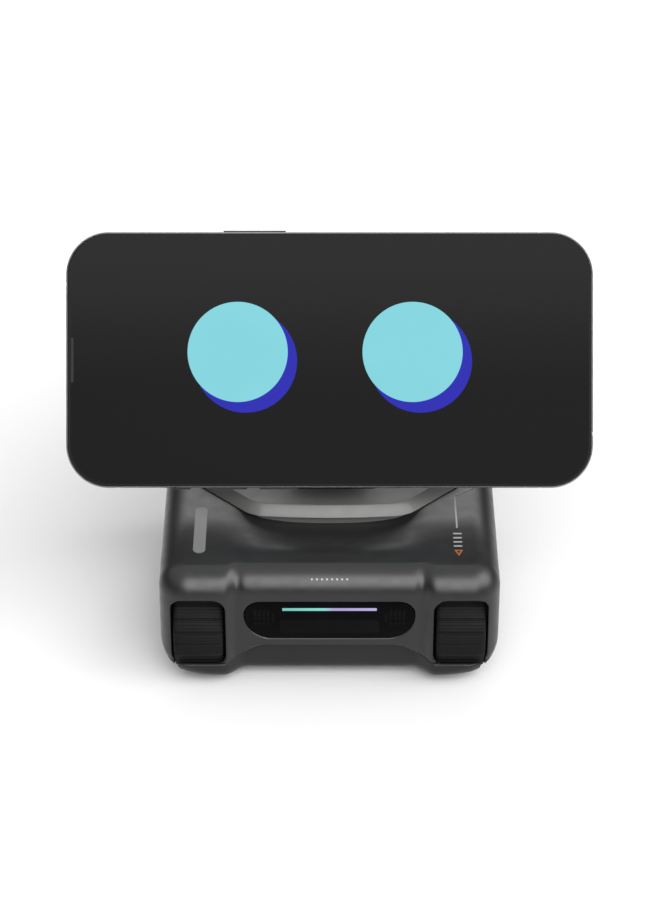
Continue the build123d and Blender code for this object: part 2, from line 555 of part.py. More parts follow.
def phone_parts():
    """The phone: frame, glass, screen, back, its insides, camera and buttons."""
    frame = slab(phone_outline(0), -PHONE_DEPTH + 0.3, -0.25)
    frame = chamfer(frame.edges().group_by(Axis.Z)[-1], 0.3)
    frame = chamfer(frame.edges().group_by(Axis.Z)[0], 0.3)
    frame -= slab(phone_outline(FRAME_WIDTH), -20, 5)
    slots = []
    for x, edge in ((64.1, 1), (64.1, -1), (-64.4, -1)):
        slots.append(button_block(x, 0.55, edge, -FRAME_WIDTH - 1, 1, PHONE_DEPTH / 2))
    for x, y in ((-PHONE_WIDTH / 2, 62.2), (PHONE_WIDTH / 2, 16.5)):
        slots.append(block(x - 1.7, x + 1.7, y - 0.6, y + 0.6, -PHONE_DEPTH, 1))
    bands = []
    for slot in slots:
        bands.append(frame & slot)
        frame -= slot
    for _, x, half, edge, _, depth, travel in PHONE_BUTTONS:
        room = depth + travel + BUTTON_GAP
        frame -= button_block(x, half + BUTTON_GAP, edge, -FRAME_WIDTH - 1, 1, room)
    save("phone_antenna_bands", PHONE_PLACE * Compound(children=bands))
    save("phone_frame", PHONE_PLACE * frame)
    glass = slab(phone_outline(0.55), -0.25, 0.0)
    glass += slab(phone_outline(FRAME_WIDTH + 0.05), -0.25 - GLASS_THICK, -0.25)
    earpiece = Pos(-77.2, PHONE_HEIGHT / 2) * Rot(0, 0, 90) * SlotOverall(13.6, 1.1)
    glass -= Pos(0, 0, -0.4) * extrude(earpiece, amount=1)
    save("phone_glass", PHONE_PLACE * glass)
    mesh = Pos(-77.2, PHONE_HEIGHT / 2) * Rot(0, 0, 90) * SlotOverall(13.5, 1.0)
    save("phone_earpiece", PHONE_PLACE * (Pos(0, 0, -0.38) * extrude(mesh, amount=0.3)))
    inner = phone_outline(FRAME_WIDTH + 0.6)
    save("phone_display", PHONE_PLACE * slab(inner, -2.1, -1.0))
    middle = phone_outline(FRAME_WIDTH + 1.5)
    cells = block(-30, 70, 8, 44, -6.0, -2.3)
    save("phone_battery", PHONE_PLACE * fillet(cells.edges().filter_by(Axis.Z), 2))
    board = (block(-74, -34, 6, 72, -6.0, -2.3) & slab(middle, -9, 0))
    board -= block(-58.5, -40, 4, 8.6, -9, 0)
    save("phone_board", PHONE_PLACE * board)
    back = slab(phone_outline(FRAME_WIDTH + 0.05), -PHONE_DEPTH + 0.15, -6.7)
    back += slab(phone_outline(0.55), -PHONE_DEPTH, -PHONE_DEPTH + 0.3)
    camera = Pos(-58.4, 56.6) * RectangleRounded(34, 34, 8)
    lenses = [(-66.4, 64.4), (-66.4, 48.8), (-51.4, 56.6)]
    save("phone_back", PHONE_PLACE * back)
    bump = slab(camera, -PHONE_DEPTH - 1.5, -PHONE_DEPTH)
    bump = fillet(bump.edges().group_by(Axis.Z)[0], 0.8)
    rings = []
    glasses = []
    for x, y in lenses:
        ring = Pos(x, y, -PHONE_DEPTH - 2.1) * Cylinder(6.4, 3.0)
        bump -= Pos(x, y, -PHONE_DEPTH - 1.5) * Cylinder(6.4, 1.8)
        ring = Pos(x, y, -PHONE_DEPTH - 1.6) * (Cylinder(6.4, 2.0) - Cylinder(5.2, 3.0))
        rings.append(ring)
        glasses.append(Pos(x, y, -PHONE_DEPTH - 1.5) * Cylinder(5.2, 1.8))
    save("camera_bump", PHONE_PLACE * bump)
    save("camera_rings", PHONE_PLACE * Compound(children=rings))
    save("camera_lenses", PHONE_PLACE * Compound(children=glasses))
    for name, x, half, edge, proud, depth, _ in PHONE_BUTTONS:
        save(name, PHONE_PLACE * button_block(x, half, edge, -1.4, proud, depth))


# ---------------------------------------------------------------- build everything
finish_shells()
base_fittings()
front_fittings()
collar_parts()
drive(-1, "left")
drive(1, "right")
motors_and_bushes()
electronics()
power_button()
neck_parts()
phone_parts()
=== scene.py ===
import math

import bpy
import numpy as np
from bpy.props import FloatProperty, FloatVectorProperty, IntProperty, PointerProperty
from mathutils import Matrix, Vector


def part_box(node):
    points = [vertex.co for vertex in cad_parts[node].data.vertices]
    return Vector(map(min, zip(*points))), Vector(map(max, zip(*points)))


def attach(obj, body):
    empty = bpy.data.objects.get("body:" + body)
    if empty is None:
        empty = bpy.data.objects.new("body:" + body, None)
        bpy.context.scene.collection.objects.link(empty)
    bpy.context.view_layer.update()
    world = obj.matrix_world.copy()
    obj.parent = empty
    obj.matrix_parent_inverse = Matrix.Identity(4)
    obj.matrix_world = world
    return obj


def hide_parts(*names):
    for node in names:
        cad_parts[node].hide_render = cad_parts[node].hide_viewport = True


bl_info = {
    "name": "Desk Robot Builder",
    "version": (1, 0, 0),
    "blender": (4, 5, 0),
    "location": "View3D > Sidebar > Robot",
    "description": "Builds a small wheeled desk robot with a phone on a tilting head",
    "category": "Add Mesh",
}

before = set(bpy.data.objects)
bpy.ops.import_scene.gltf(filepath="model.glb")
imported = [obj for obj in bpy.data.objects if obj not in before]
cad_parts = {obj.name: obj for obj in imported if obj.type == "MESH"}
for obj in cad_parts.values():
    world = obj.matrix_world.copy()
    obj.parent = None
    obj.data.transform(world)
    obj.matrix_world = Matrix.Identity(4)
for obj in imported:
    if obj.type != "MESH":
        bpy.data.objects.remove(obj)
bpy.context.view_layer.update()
MM = 0.001


def box_mm(node):
    """A node's lowest and highest corners in millimetres."""
    low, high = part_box(node)
    return np.array(low) / MM, np.array(high) / MM


SHELL_LOW, SHELL_HIGH = box_mm("top_shell")
BASE_LOW, BASE_HIGH = box_mm("base_shell")
WINDOW_LOW, WINDOW_HIGH = box_mm("sensor_window")
TYRE_LOW, TYRE_HIGH = box_mm("right_tyre")
COLLAR_LOW, COLLAR_HIGH = box_mm("collar_ring")
AXLE_LOW, AXLE_HIGH = box_mm("right_axle")
LIGHT_LOW, LIGHT_HIGH = box_mm("light_bar")
DOTS_LOW, DOTS_HIGH = box_mm("indicator_dots")
PORT_LOW, PORT_HIGH = box_mm("charge_port")
POWER_LOW, POWER_HIGH = box_mm("power_button")
CASTER_LOW, CASTER_HIGH = box_mm("caster_socket")
FRAME_LOW, FRAME_HIGH = box_mm("phone_frame")

WHEEL_Y = (AXLE_LOW[1] + AXLE_HIGH[1]) / 2
WHEEL_Z = (AXLE_LOW[2] + AXLE_HIGH[2]) / 2
WHEEL_X = (TYRE_LOW[0] + TYRE_HIGH[0]) / 2
WHEEL_RADIUS = (TYRE_HIGH[2] - TYRE_LOW[2]) / 2


# --- sizes and colours a user changes
def length(name, text, value, low=0.0, high=200.0):
    """A size in millimetres."""
    return FloatProperty(name=name, description=text, default=value, min=low, max=high, unit="NONE")


def colour(name, text, value):
    """A linear colour."""
    return FloatVectorProperty(
        name=name, description=text, default=value, size=3, min=0.0, max=4.0, subtype="COLOR"
    )


class RobotSizes(bpy.types.PropertyGroup):
    """Sizes of the moulded body, in millimetres."""

    mesh_step: length("Mesh step", "Spacing of the body's mesh, mm", 0.6, 0.2, 3.0)
    wall: length("Wall", "Thickness of the moulded shells, mm", 1.8)
    top_radius: length("Top rounding", "Rounding of the body's top edge, mm", 8.0)
    side_low_radius: length("Side rounding", "Rounding of the long bottom edges, mm", 13.5)
    front_low_radius: length("Front rounding", "Rounding of the bottom edge under the fenders, mm", 4.0)
    back_low_radius: length("Rear rounding", "Rounding of the rear bottom edge, mm", 8.0)
    front_corner: length("Front corner", "Plan radius of the front corners, mm", 9.2)
    back_corner: length("Back corner", "Plan radius of the rear corners, mm", 14.0)
    face_set_back: length("Face set-back", "How far the face lies behind the fenders, mm", 1.5)
    valley_depth: length("Valley depth", "Depth of the soft groove beside each fender, mm", 1.15)
    scoop_depth: length("Scoop depth", "Depth of the soft hollow before the collar, mm", 2.9)
    tread_grooves: IntProperty(name="Tread grooves", description="Deep grooves round a tyre", default=24)
    eye_radius: length("Eye radius", "Radius of an eye on the screen, mm", 15.3)
    eye_spacing: length("Eye spacing", "Distance between the eyes' centres, mm", 53.4)


class RobotColours(bpy.types.PropertyGroup):
    """Linear colours of the main finishes."""

    body: colour("Body", "Satin shell", (0.0085, 0.0085, 0.0086))
    collar: colour("Collar", "Bevelled ring and panel round the neck", (0.080, 0.080, 0.078))
    tyre: colour("Tyre", "Ribbed rubber", (0.0045, 0.0045, 0.0047))
    eye: colour("Eye", "Eye discs on the screen", (0.242, 0.672, 0.745))
    eye_shadow: colour("Eye shadow", "Offset discs behind the eyes", (0.030, 0.030, 0.456))
    light_left: colour("Light, left", "Left end of the light bar", (0.19, 0.60, 0.52))
    light_right: colour("Light, right", "Right end of the light bar", (0.52, 0.44, 0.82))
    arrow: colour("Arrow", "Small printed arrow", (0.23, 0.07, 0.014))


# --- materials
def new_material(name):
    """An empty node material and its Principled shader."""
    material = bpy.data.materials.new(name)
    material.use_nodes = True
    tree = material.node_tree
    tree.nodes.clear()
    output = tree.nodes.new("ShaderNodeOutputMaterial")
    shader = tree.nodes.new("ShaderNodeBsdfPrincipled")
    tree.links.new(shader.outputs["BSDF"], output.inputs["Surface"])
    return material, tree, shader


def noise(tree, scale, detail=4.0):
    """Noise in the object's own space; scale counts features per metre."""
    where = tree.nodes.new("ShaderNodeTexCoord")
    texture = tree.nodes.new("ShaderNodeTexNoise")
    texture.inputs["Scale"].default_value = scale
    texture.inputs["Detail"].default_value = detail
    tree.links.new(where.outputs["Object"], texture.inputs["Vector"])
    return texture.outputs["Fac"]


def spread(tree, value, low, high, start=0.3, end=0.7):
    """Maps a value from start and end onto low and high."""
    node = tree.nodes.new("ShaderNodeMapRange")
    node.inputs["From Min"].default_value = start
    node.inputs["From Max"].default_value = end
    node.inputs["To Min"].default_value = low
    node.inputs["To Max"].default_value = high
    tree.links.new(value, node.inputs["Value"])
    return node.outputs["Result"]


def tint(tree, value, first, second, start=0.3, end=0.7):
    """A colour that runs from first to second as a value goes from start to end."""
    ramp = tree.nodes.new("ShaderNodeValToRGB")
    ramp.color_ramp.elements[0].position = start
    ramp.color_ramp.elements[0].color = (*first, 1)
    ramp.color_ramp.elements[1].position = end
    ramp.color_ramp.elements[1].color = (*second, 1)
    tree.links.new(value, ramp.inputs["Fac"])
    return ramp.outputs["Color"]


def shade(base, factor):
    """A colour made lighter or darker."""
    return tuple(min(4.0, part * factor) for part in base)


def relief(tree, shader, height, strength, distance):
    """Bumps the surface by a noise value."""
    bump = tree.nodes.new("ShaderNodeBump")
    bump.inputs["Strength"].default_value = strength
    bump.inputs["Distance"].default_value = distance
    tree.links.new(height, bump.inputs["Height"])
    tree.links.new(bump.outputs["Normal"], shader.inputs["Normal"])


def along_axis(tree, axis, low, high):
    """0 to 1 from low to high along an axis of the object, in metres."""
    where = tree.nodes.new("ShaderNodeTexCoord")
    parts = tree.nodes.new("ShaderNodeSeparateXYZ")
    tree.links.new(where.outputs["Object"], parts.inputs["Vector"])
    return spread(tree, parts.outputs[axis], 0.0, 1.0, low, high)


def moulded(name, base, rough=0.45, grain=3200.0, bump=0.12, vary=0.12, specular=0.5, coat=0.0):
    """Moulded plastic: a fine grain, slight clouding of colour and uneven gloss."""
    material, tree, shader = new_material(name)
    cloud = noise(tree, 45.0, 3.0)
    fine = noise(tree, grain, 2.0)
    colour_out = tint(tree, cloud, shade(base, 1 - vary), shade(base, 1 + vary))
    tree.links.new(colour_out, shader.inputs["Base Color"])
    rough_out = spread(tree, noise(tree, 260.0, 5.0), rough - 0.05, rough + 0.05)
    tree.links.new(rough_out, shader.inputs["Roughness"])
    relief(tree, shader, fine, bump, 0.00006)
    shader.inputs["Specular IOR Level"].default_value = specular
    shader.inputs["Coat Weight"].default_value = coat
    shader.inputs["Coat Roughness"].default_value = 0.08
    return material


def metal(name, base, rough=0.25, grain=900.0, bump=0.05):
    """Metal with a fine grain and smudged gloss."""
    material, tree, shader = new_material(name)
    fine = noise(tree, grain, 3.0)
    tree.links.new(tint(tree, fine, shade(base, 0.86), shade(base, 1.1)), shader.inputs["Base Color"])
    tree.links.new(spread(tree, noise(tree, 180.0), rough * 0.8, rough * 1.25), shader.inputs["Roughness"])
    relief(tree, shader, fine, bump, 0.00003)
    shader.inputs["Metallic"].default_value = 1.0
    return material


def glowing(name, base, second=None, low=0.0, high=1.0):
    """A lit surface; with a second colour it fades along X from low to high, in metres."""
    material, tree, shader = new_material(name)
    shader.inputs["Roughness"].default_value = 0.3
    shader.inputs["Specular IOR Level"].default_value = 0.02
    if second is None:
        cloud = noise(tree, 60.0, 2.0)
        colour_out = tint(tree, cloud, shade(base, 0.985), shade(base, 1.015))
    else:
        along = along_axis(tree, "X", low, high)
        ramp = tree.nodes.new("ShaderNodeValToRGB")
        ramp.color_ramp.interpolation = "EASE"
        ramp.color_ramp.elements[0].color = (*base, 1)
        ramp.color_ramp.elements[-1].color = (*second, 1)
        for position, stop in ((0.42, shade(base, 1.25)), (0.56, shade(second, 0.86))):
            ramp.color_ramp.elements.new(position).color = (*stop, 1)
        tree.links.new(along, ramp.inputs["Fac"])
        colour_out = ramp.outputs["Color"]
    tree.links.new(colour_out, shader.inputs["Emission Color"])
    shader.inputs["Base Color"].default_value = (0.0, 0.0, 0.0, 1)
    shader.inputs["Emission Strength"].default_value = 1.0
    return material


def screen_glow_with_painted_reflection(name, low, high):
    """A dark lit screen, a little brighter toward its upper edge: the dark glow is the display's own, the
    rise toward the upper edge is a painted reflection; low and high are in millimetres.
    """
    material, tree, shader = new_material(name)
    up = along_axis(tree, "Z", low.z * MM, high.z * MM)
    ramp = tree.nodes.new("ShaderNodeValToRGB")
    ramp.color_ramp.interpolation = "EASE"
    ramp.color_ramp.elements[0].position = 0.35
    ramp.color_ramp.elements[0].color = (0.0075, 0.0075, 0.0077, 1)
    # the brighter upper stop is a painted reflection on the glass
    ramp.color_ramp.elements[1].position = 0.95
    ramp.color_ramp.elements[1].color = (0.021, 0.021, 0.0215, 1)
    tree.links.new(up, ramp.inputs["Fac"])
    tree.links.new(ramp.outputs["Color"], shader.inputs["Emission Color"])
    shader.inputs["Emission Strength"].default_value = 1.0
    shader.inputs["Base Color"].default_value = (0.001, 0.001, 0.001, 1)
    shader.inputs["Roughness"].default_value = 0.12
    shader.inputs["Specular IOR Level"].default_value = 0.02
    return material


def board_finish(name):
    """Green solder mask with paler cells."""
    material, tree, shader = new_material(name)
    where = tree.nodes.new("ShaderNodeTexCoord")
    cells = tree.nodes.new("ShaderNodeTexVoronoi")
    cells.distance = "CHEBYCHEV"
    cells.inputs["Scale"].default_value = 420.0
    tree.links.new(where.outputs["Object"], cells.inputs["Vector"])
    mask = tint(tree, cells.outputs["Distance"], (0.006, 0.05, 0.03), (0.012, 0.09, 0.05), 0.35, 0.45)
    tree.links.new(mask, shader.inputs["Base Color"])
    tree.links.new(spread(tree, noise(tree, 300.0), 0.25, 0.4), shader.inputs["Roughness"])
    return material


# --- mesh tools
def mesh_object(name, points, faces, material, body):
    """A mesh piece from points in millimetres, riding on a body."""
    mesh = bpy.data.meshes.new(name)
    mesh.from_pydata([tuple(point) for point in (np.asarray(points) * MM).tolist()], [], faces)
    mesh.validate()
    mesh.update()
    piece = bpy.data.objects.new(name, mesh)
    bpy.context.scene.collection.objects.link(piece)
    mesh.materials.append(material)
    mesh.shade_smooth()
    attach(piece, body)
    return piece


def sharpen(piece, degrees=35.0):
    """Keeps edges steeper than an angle crisp."""
    piece.data.set_sharp_from_angle(angle=math.radians(degrees))
    return piece


def ease(value, start, end):
    """Smooth step from 0 at start to 1 at end."""
    t = np.clip((value - start) / (end - start), 0.0, 1.0)
    return t * t * (3 - 2 * t)


def join_max(first, second, soft):
    """Intersection of two distance fields with its edge rounded."""
    mix = np.clip(0.5 + 0.5 * (first - second) / soft, 0.0, 1.0)
    return second * (1 - mix) + first * mix + soft * mix * (1 - mix)


def corner_distance(a, b, radius):
    """Distance to the rounded corner of the quarter plane a < 0, b < 0."""
    a = a + radius
    b = b + radius
    outside = np.hypot(np.maximum(a, 0), np.maximum(b, 0))
    return outside + np.minimum(np.maximum(a, b), 0) - radius


def surface_net(field, low, high, step):
    """Points and four-sided faces of the surface where a distance field is zero."""
    axes = [np.arange(low[i], high[i] + step, step) for i in range(3)]
    grid = np.meshgrid(*axes, indexing="ij")
    values = field(*grid).astype(np.float32)
    shape = np.array(values.shape)
    inside = values < 0
    cells = shape - 1
    total = int(np.prod(cells))
    sums = np.zeros((4, total))
    quads = []
    strides = np.array([cells[1] * cells[2], cells[2], 1])
    for axis in range(3):
        u, v = [other for other in range(3) if other != axis]
        first = [slice(None)] * 3
        second = [slice(None)] * 3
        first[axis] = slice(0, -1)
        second[axis] = slice(1, None)
        crossing = inside[tuple(first)] != inside[tuple(second)]
        where = np.array(np.nonzero(crossing))
        start = values[tuple(first)][crossing]
        end = values[tuple(second)][crossing]
        point = where.astype(float)
        point[axis] += start / (start - end)
        corners = []
        valid = np.ones(where.shape[1], bool)
        for du, dv in ((-1, -1), (0, -1), (0, 0), (-1, 0)):
            cell = where.copy()
            cell[u] += du
            cell[v] += dv
            good = (cell[u] >= 0) & (cell[v] >= 0) & (cell[u] < cells[u]) & (cell[v] < cells[v])
            valid &= good
            index = (cell * strides[:, None]).sum(0)
            corners.append(index)
            for part in range(3):
                sums[part] += np.bincount(index[good], point[part][good], total)
            sums[3] += np.bincount(index[good], minlength=total)
        quad = np.stack(corners, 1)[valid]
        flip = (start < 0)[valid] != (axis == 1)
        quad[~flip] = quad[~flip][:, ::-1]
        quads.append(quad)
    quads = np.concatenate(quads)
    used = np.unique(quads)
    lookup = np.full(total, -1)
    lookup[used] = np.arange(len(used))
    points = (sums[:3, used] / sums[3, used]).T * step + np.array(low)
    return points, lookup[quads]


def gradient(field, points, reach=0.05):
    """Direction and rate of change of a field at points."""
    slopes = []
    for axis in range(3):
        shift = np.zeros(3)
        shift[axis] = reach
        ahead = field(*(points + shift).T)
        behind = field(*(points - shift).T)
        slopes.append((ahead - behind) / (2 * reach))
    return np.stack(slopes, 1)


def settle(field, points, step, rounds=4):
    """Moves points onto the surface where a field is zero."""
    for _ in range(rounds):
        slope = gradient(field, points)
        size = np.maximum((slope ** 2).sum(1), 0.05)
        move = -(field(*points.T) / size)[:, None] * slope
        points = points + np.clip(move, -0.4 * step, 0.4 * step)
    return points


def field_piece(name, field, low, high, step, material, body):
    """A closed moulded piece from a distance field, with its true surface normals."""
    points, quads = surface_net(field, low, high, step)
    points = settle(field, points, step)
    piece = mesh_object(name, points, quads.tolist(), material, body)
    normals = gradient(field, points, 0.12)
    normals /= np.maximum(np.linalg.norm(normals, axis=1), 1e-6)[:, None]
    piece.data.normals_split_custom_set_from_vertices(normals.tolist())
    return piece


def skin(rows, count, closed=False, first=0):
    """Faces over rows of points: a plate with two ends, or a ring if closed."""
    faces = []
    for row in range(rows if closed else rows - 1):
        near, far = first + row * count, first + (row + 1) % rows * count
        for index in range(count):
            follow = (index + 1) % count
            faces.append((near + index, near + follow, far + follow, far + index))
    if not closed:
        last = first + (rows - 1) * count
        faces.append(tuple(range(first, first + count))[::-1])
        faces.append(tuple(range(last, last + count)))
    return faces


def ring_mesh(loop, profile, closed=False):
    """Points and faces of a plate, or of a ring if closed.

    loop(offset) gives the outline at an inward offset, and profile lists (offset, height) stations.
    """
    points = []
    for offset, height in profile:
        outline = loop(offset)
        points.extend((x, y, height) for x, y in outline)
    return points, skin(len(profile), len(loop(0)), closed)


def rounded_rectangle(width, height, radius, middle=(0.0, 0.0), steps=14):
    """A function of an inward offset that gives a rounded rectangle's points."""
    def loop(offset):
        points = []
        half_w, half_h = width / 2 - offset, height / 2 - offset
        corner = max(radius - offset, 0.05)
        for quarter in range(4):
            sign_x = (1, -1, -1, 1)[quarter]
            sign_y = (1, 1, -1, -1)[quarter]
            for index in range(steps + 1):
                angle = math.pi / 2 * (quarter + index / steps)
                points.append((
                    middle[0] + sign_x * (half_w - corner) + corner * math.cos(angle),
                    middle[1] + sign_y * (half_h - corner) + corner * math.sin(angle),
                ))
        return points
    return loop


def circle_loop(radius, middle=(0.0, 0.0), steps=96):
    """A function of an inward offset that gives a circle's points."""
    def loop(offset):
        angles = [2 * math.pi * index / steps for index in range(steps)]
        reach = radius - offset
        return [(middle[0] + reach * math.cos(a), middle[1] + reach * math.sin(a)) for a in angles]
    return loop


def placed(points, matrix):
    """Points in millimetres moved by a matrix."""
    array = np.asarray(points, float)
    turn = np.array(matrix.to_3x3())
    return array @ turn.T + np.array(matrix.translation)


# --- the body's shape
MIDDLE_Z = 20.0              # the body's upper and lower roundings part here
CORNER_BLEND = 17.5          # the low rounding turns from side to end within this distance of a corner
PANE_HALF = WINDOW_HIGH[0] - 0.45     # half the width of the window's pane
PANE_LOW = WINDOW_LOW[2] + 0.45
PANE_HIGH = WINDOW_HIGH[2] + 0.35
PANE_LEVEL = PANE_HIGH - 4.8  # its upper corners end and its lower ones begin here
PANE_UPPER_CORNER = 4.6
PANE_LOWER_CORNER = 8.3
FENDER_EDGE = 30.8           # where the fenders end and the face begins
VALLEY_X = 28.7              # middle of the soft groove beside a fender
CREASE_Z = 14.3              # lower edge of the face
SIDE_SPLIT_Z = 8.2           # the shells' joint along the sides
WELL_MIDDLE = WHEEL_X - 0.05  # middle of a wheel opening
WELL_HALF = 8.2              # half the width of a wheel opening
DRUM_HALF = 7.6              # half the width of the well behind it
DOOR_BACK = -37.0            # the opening's full width ends here
WELL_TOP = 31.7
LIP_TOP = 8.4                # the lip in front of a tread
NECK_SLOT_HALF = 14.2        # half the width of the slot that the neck tilts in
NECK_SLOT_FRONT = 0.9
NECK_SLOT_BACK = 25.4
PORT_HALF = 2.9              # half the distance between the charging port's end circles
PORT_RADIUS = 1.95
POWER_HOLE = 3.9             # radii of the round holes in the shells
CASTER_HOLE = 9.6
CLIFF_HOLE = 3.1
SCREW_HOLE = 2.6
SPEAKER_HOLE = 0.8
SPEAKER_RINGS = ((0, 1), (2.7, 6), (5.4, 12))    # radius and count of each ring of speaker holes
FLOOR_HOLE_TOP = 8.0         # holes in the floor end at this height
REAR_HOLE_DEPTH = 6.0        # holes in the rear wall reach this far in


def plan_distance(x, y, sizes):
    """Distance outside the body's rounded plan."""
    half = (SHELL_HIGH[0] - SHELL_LOW[0]) / 2
    front = -SHELL_LOW[1]
    back = SHELL_HIGH[1]
    radius = np.where(y < 0, sizes.front_corner, sizes.back_corner)
    reach = np.where(y < 0, front, back)
    a = np.abs(x) - half + radius
    b = np.abs(y) - reach + radius
    outside = np.hypot(np.maximum(a, 0), np.maximum(b, 0))
    return outside + np.minimum(np.maximum(a, b), 0) - radius


def block_distance(x, y, z, sizes):
    """Distance outside the body's rounded block."""
    plan = plan_distance(x, y, sizes)
    above = corner_distance(plan, z - SHELL_HIGH[2], sizes.top_radius)
    half = (SHELL_HIGH[0] - SHELL_LOW[0]) / 2
    beside = np.maximum(np.abs(x) - half + CORNER_BLEND, 0) ** 2
    ahead = np.maximum(np.abs(y) - SHELL_HIGH[1] + CORNER_BLEND, 0) ** 2 + 6.0
    toward_end = ahead / (beside + ahead)
    end_radius = np.where(y < 0, sizes.front_low_radius, sizes.back_low_radius)
    radius = sizes.side_low_radius + (end_radius - sizes.side_low_radius) * toward_end
    below = corner_distance(plan, BASE_LOW[2] - z, radius)
    return np.where(z > MIDDLE_Z, above, below)


def split_height(x, y):
    """Height of the joint between the two shells."""
    front = ease(y, -30.0, -36.0)
    middle = 1 - ease(np.abs(x), 20.0, 33.0)
    return SIDE_SPLIT_Z + (CREASE_Z - SIDE_SPLIT_Z) * middle * front


def top_outside(x, y, z, sizes):
    """Distance outside the upper body, with its face, valleys and scoop."""
    ax = np.abs(x)
    front = ease(y, -31.0, -39.0)
    face = sizes.face_set_back * (1 - ease(ax, 26.5, FENDER_EDGE))
    valley = sizes.valley_depth * np.exp(-((ax - VALLEY_X) / 2.0) ** 2)
    along = ease(y, -31.0, -16.0) * (1 - ease(y, -12.0, -4.0))
    scoop = sizes.scoop_depth * np.exp(-((ax / 25.0) ** 4)) * along
    high = ease(z, 25.0, 36.0)
    return block_distance(x, y - (face + valley) * front, z + scoop * high, sizes)


def base_outside(x, y, z, sizes):
    """Distance outside the lower body, with its set-back chin."""
    front = ease(y, -28.0, -36.0)
    chin = (sizes.face_set_back + 3.0) * (1 - ease(np.abs(x), 25.0, 32.5))
    return block_distance(x, y - chin * front, z, sizes)


def well_distance(x, y, z):
    """Distance outside the two wheel wells."""
    ax = np.abs(x)
    side = np.abs(ax - WELL_MIDDLE) - WELL_HALF
    drum = np.hypot(y - WHEEL_Y, z - WHEEL_Z) - (WHEEL_RADIUS + 0.6)
    drum = join_max(np.abs(ax - WELL_MIDDLE) - DRUM_HALF, drum, 0.8)
    above = corner_distance(side, z - WELL_TOP, 4.4)
    below = corner_distance(side, LIP_TOP - z, 2.8)
    door = np.maximum(y - DOOR_BACK, np.where(z > MIDDLE_Z, above, below))
    return np.minimum(drum, door)


def hollow(outside, x, y, z, sizes):
    """A shell of the given outside, with the wheel wells' walls."""
    wall = np.maximum(outside, -(outside + sizes.wall))
    wells = well_distance(x, y, z)
    housing = np.maximum(outside, wells - sizes.wall)
    return join_max(np.minimum(wall, housing), -wells, 0.5)


def window_distance(x, z, grow):
    """Distance outside the sensor window's outline."""
    side = np.abs(x) - PANE_HALF - grow
    upper = corner_distance(side, z - PANE_HIGH - grow, PANE_UPPER_CORNER + grow)
    lower = corner_distance(side, PANE_LOW - grow - z, PANE_LOWER_CORNER + grow)
    return np.where(z > PANE_LEVEL, upper, lower)


def top_field(sizes):
    """The top shell's distance field."""
    slot_middle = (NECK_SLOT_FRONT + NECK_SLOT_BACK) / 2
    slot_reach = (NECK_SLOT_BACK - NECK_SLOT_FRONT) / 2
    port_z = (PORT_LOW[2] + PORT_HIGH[2]) / 2
    power_x = (POWER_LOW[0] + POWER_HIGH[0]) / 2
    power_z = (POWER_LOW[2] + POWER_HIGH[2]) / 2
    back = SHELL_HIGH[1]

    def field(x, y, z):
        outside = top_outside(x, y, z, sizes)
        shell = hollow(outside, x, y, z, sizes)
        shell = join_max(shell, split_height(x, y) + 0.08 - z, 0.35)
        window = np.maximum(window_distance(x, z, 0.12), y + 30.0)
        shell = join_max(shell, -window, 0.4)
        slot = np.maximum(np.abs(x) - NECK_SLOT_HALF, np.abs(y - slot_middle) - slot_reach)
        shell = join_max(shell, -np.maximum(slot, 30.0 - z), 0.4)
        port = np.hypot(np.maximum(np.abs(x) - PORT_HALF, 0), z - port_z) - PORT_RADIUS
        shell = join_max(shell, -np.maximum(port, back - REAR_HOLE_DEPTH - y), 0.5)
        button = np.hypot(x - power_x, z - power_z) - POWER_HOLE
        return join_max(shell, -np.maximum(button, back - REAR_HOLE_DEPTH - y), 0.5)

    return field


def base_field(sizes):
    """The base shell's distance field."""
    caster_x = (CASTER_LOW[0] + CASTER_HIGH[0]) / 2
    caster_y = (CASTER_LOW[1] + CASTER_HIGH[1]) / 2
    screws_low, screws_high = box_mm("base_screws")
    speaker_low, speaker_high = box_mm("speaker")
    speaker_x, speaker_y = (speaker_low[:2] + speaker_high[:2]) / 2
    cliff_low, cliff_high = box_mm("cliff_sensors")

    def field(x, y, z):
        outside = base_outside(x, y, z, sizes)
        shell = hollow(outside, x, y, z, sizes)
        shell = join_max(shell, z - split_height(x, y) + 0.08, 0.35)
        round_hole = np.hypot(x - caster_x, y - caster_y) - CASTER_HOLE
        shell = join_max(shell, -np.maximum(round_hole, z - FLOOR_HOLE_TOP), 0.4)
        ax = np.abs(x)
        cliff_x, cliff_y = cliff_high[0] - 3.0, (cliff_low[1] + cliff_high[1]) / 2
        spots = [(cliff_x, cliff_y, CLIFF_HOLE)]
        for screw_y in (screws_low[1] + 2.3, screws_high[1] - 2.3):
            spots.append((screws_high[0] - 2.3, screw_y, SCREW_HOLE))
        for spot_x, spot_y, radius in spots:
            spot = np.hypot(ax - spot_x, y - spot_y) - radius
            shell = join_max(shell, -np.maximum(spot, z - FLOOR_HOLE_TOP), 0.4)
        for ring, count in SPEAKER_RINGS:
            for index in range(count):
                angle = 2 * math.pi * index / count
                hole_x = speaker_x + ring * math.cos(angle)
                hole_y = speaker_y + ring * math.sin(angle)
                hole = np.hypot(x - hole_x, y - hole_y) - SPEAKER_HOLE
                shell = np.maximum(shell, -np.maximum(hole, z - FLOOR_HOLE_TOP))
        return shell

    return field


# --- operators
class RobotOperator(bpy.types.Operator):
    """Shared by every step of the build."""

    def execute(self, context):
        self.build(context.scene.robot_sizes, context.scene.robot_colours)
        return {"FINISHED"}


